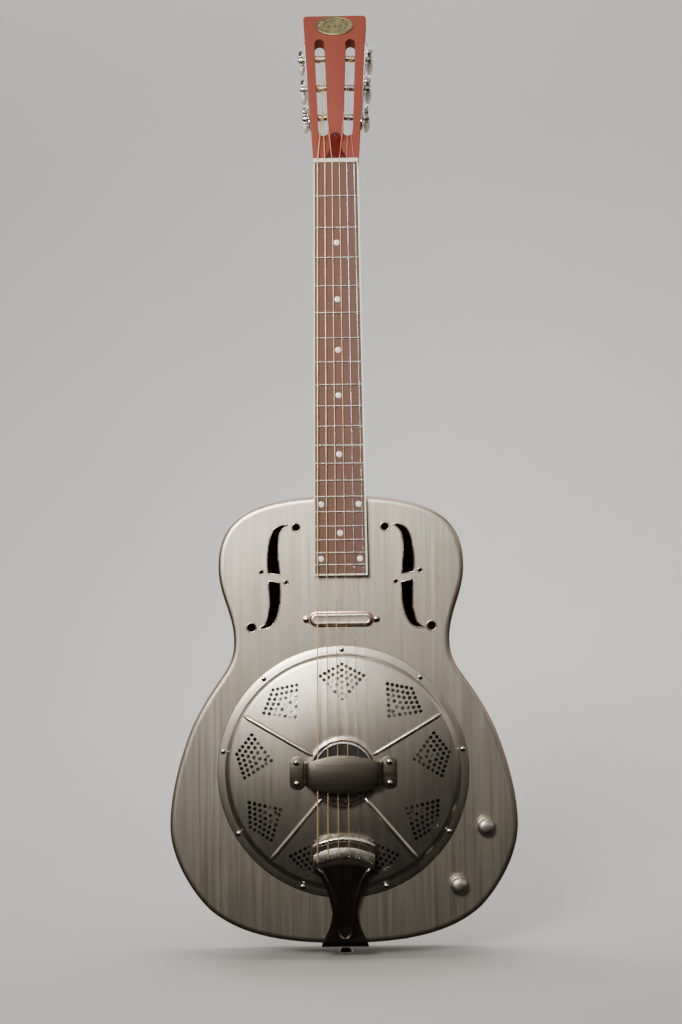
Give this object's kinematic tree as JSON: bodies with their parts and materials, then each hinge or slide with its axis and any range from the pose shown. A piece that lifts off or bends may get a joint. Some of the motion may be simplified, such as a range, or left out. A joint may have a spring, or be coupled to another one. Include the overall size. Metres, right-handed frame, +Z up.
{
  "type": "resonator guitar",
  "caption": "Metal-bodied single-cone resonator guitar with a slotted head, perforated cover plate, trapeze tailpiece, slim pickup and control knobs.",
  "frame": {"origin": "the back of the neck on its centre line, level with the nut, where a hanger or stand yoke holds the guitar", "axes": "+Z up along the strings towards the head, -Y out of the front, +X to the right of someone looking at the front"},
  "size_m": [0.363, 0.1152, 1.0031],
  "materials": {
    "body_nickel": "antique nickel with a brushed grain, worn to copper on its edges",
    "bright_nickel": "satin to bright nickel plate",
    "aluminium": "spun aluminium",
    "copper": "copper showing through worn plate",
    "steel": "plain steel",
    "brass": "aged brass",
    "bronze_string": "bronze-wound string",
    "steel_string": "plain steel string",
    "red_mahogany": "glossy red-stained mahogany",
    "rosewood": "oiled rosewood",
    "maple": "plain maple",
    "cream": "cream plastic",
    "button_pearl": "cream pearloid plastic"
  },
  "bodies": {
    "guitar": {"biscuit": "maple", "body_back_and_sides": "body_nickel", "body_top": "body_nickel", "coverplate": "bright_nickel", "end_button": "bright_nickel", "fretboard": "rosewood", "fretboard_binding": "cream", "handrest": "bright_nickel", "handrest_screw_1": "bright_nickel", "handrest_screw_2": "bright_nickel", "handrest_screw_3": "bright_nickel", "handrest_screw_4": "bright_nickel", "head_badge": "brass", "neck": "red_mahogany", "neck_stick": "maple", "nut": "cream", "output_jack": "bright_nickel", "pickup_base": "copper", "pickup_cover": "body_nickel", "pickup_screw_1": "bright_nickel", "pickup_screw_2": "bright_nickel", "resonator_cone": "aluminium", "saddle": "maple", "soundwell_ring": "body_nickel", "string_1": "steel_string", "string_2": "steel_string", "string_3": "bronze_string", "string_4": "bronze_string", "string_5": "bronze_string", "string_6": "bronze_string", "tailpiece_plate": "bright_nickel", "tailpiece_string_bar": "bright_nickel", "tone_pot": "steel", "truss_rod": "steel", "truss_rod_cover": "red_mahogany", "tuner_plate_left": "bright_nickel", "tuner_plate_right": "bright_nickel", "volume_pot": "steel"},
    "tuner_1": {"tuner_worm_1": "bright_nickel", "tuner_button_1": "button_pearl"},
    "tuner_2": {"tuner_worm_2": "bright_nickel", "tuner_button_2": "button_pearl"},
    "tuner_3": {"tuner_worm_3": "bright_nickel", "tuner_button_3": "button_pearl"},
    "tuner_4": {"tuner_worm_4": "bright_nickel", "tuner_button_4": "button_pearl"},
    "tuner_5": {"tuner_worm_5": "bright_nickel", "tuner_button_5": "button_pearl"},
    "tuner_6": {"tuner_worm_6": "bright_nickel", "tuner_button_6": "button_pearl"},
    "roller_1": {"string_roller_1": "steel"},
    "roller_2": {"string_roller_2": "steel"},
    "roller_3": {"string_roller_3": "steel"},
    "roller_4": {"string_roller_4": "steel"},
    "roller_5": {"string_roller_5": "steel"},
    "roller_6": {"string_roller_6": "steel"},
    "volume_control": {"volume_knob": "bright_nickel", "volume_shaft": "brass"},
    "tone_control": {"tone_knob": "bright_nickel", "tone_shaft": "brass"}
  },
  "joints": [
    {"name": "tuner_1_turn", "type": "hinge", "parent": "guitar", "child": "tuner_1", "pos_m": [0.03301, 0.03224, 0.05273], "axis": [0, 0.9659, -0.2588], "continuous": true},
    {"name": "tuner_2_turn", "type": "hinge", "parent": "guitar", "child": "tuner_2", "pos_m": [0.03505, 0.04128, 0.08648], "axis": [0, 0.9659, -0.2588], "continuous": true},
    {"name": "tuner_3_turn", "type": "hinge", "parent": "guitar", "child": "tuner_3", "pos_m": [0.03709, 0.05033, 0.12023], "axis": [0, 0.9659, -0.2588], "continuous": true},
    {"name": "tuner_4_turn", "type": "hinge", "parent": "guitar", "child": "tuner_4", "pos_m": [-0.03709, 0.05033, 0.12023], "axis": [0, 0.9659, -0.2588], "continuous": true},
    {"name": "tuner_5_turn", "type": "hinge", "parent": "guitar", "child": "tuner_5", "pos_m": [-0.03505, 0.04128, 0.08648], "axis": [0, 0.9659, -0.2588], "continuous": true},
    {"name": "tuner_6_turn", "type": "hinge", "parent": "guitar", "child": "tuner_6", "pos_m": [-0.03301, 0.03224, 0.05273], "axis": [0, 0.9659, -0.2588], "continuous": true},
    {"name": "roller_1_wind", "type": "hinge", "parent": "guitar", "child": "roller_1", "pos_m": [0.0271, 0.00484, 0.05285], "axis": [0.9983, -0.0151, -0.0563], "continuous": true},
    {"name": "roller_2_wind", "type": "hinge", "parent": "guitar", "child": "roller_2", "pos_m": [0.02914, 0.01388, 0.08661], "axis": [0.9983, -0.0151, -0.0563], "continuous": true},
    {"name": "roller_3_wind", "type": "hinge", "parent": "guitar", "child": "roller_3", "pos_m": [0.03118, 0.02293, 0.12036], "axis": [0.9983, -0.0151, -0.0563], "continuous": true},
    {"name": "roller_4_wind", "type": "hinge", "parent": "guitar", "child": "roller_4", "pos_m": [-0.03118, 0.02293, 0.12036], "axis": [0.9983, 0.0151, 0.0563], "continuous": true},
    {"name": "roller_5_wind", "type": "hinge", "parent": "guitar", "child": "roller_5", "pos_m": [-0.02914, 0.01388, 0.08661], "axis": [0.9983, 0.0151, 0.0563], "continuous": true},
    {"name": "roller_6_wind", "type": "hinge", "parent": "guitar", "child": "roller_6", "pos_m": [-0.0271, 0.00484, 0.05285], "axis": [0.9983, 0.0151, 0.0563], "continuous": true},
    {"name": "volume_turn", "type": "hinge", "parent": "guitar", "child": "volume_control", "pos_m": [0.147, -0.0328, -0.696], "axis": [0, -1, 0], "range_deg": [-150, 150]},
    {"name": "tone_turn", "type": "hinge", "parent": "guitar", "child": "tone_control", "pos_m": [0.1185, -0.0328, -0.756], "axis": [0, -1, 0], "range_deg": [-150, 150]}
  ],
  "couplings": [
    {"joint": "roller_1_wind", "follows": "tuner_1_turn", "ratio": 0.071429},
    {"joint": "roller_2_wind", "follows": "tuner_2_turn", "ratio": 0.071429},
    {"joint": "roller_3_wind", "follows": "tuner_3_turn", "ratio": 0.071429},
    {"joint": "roller_4_wind", "follows": "tuner_4_turn", "ratio": 0.071429},
    {"joint": "roller_5_wind", "follows": "tuner_5_turn", "ratio": 0.071429},
    {"joint": "roller_6_wind", "follows": "tuner_6_turn", "ratio": 0.071429}
  ]
}
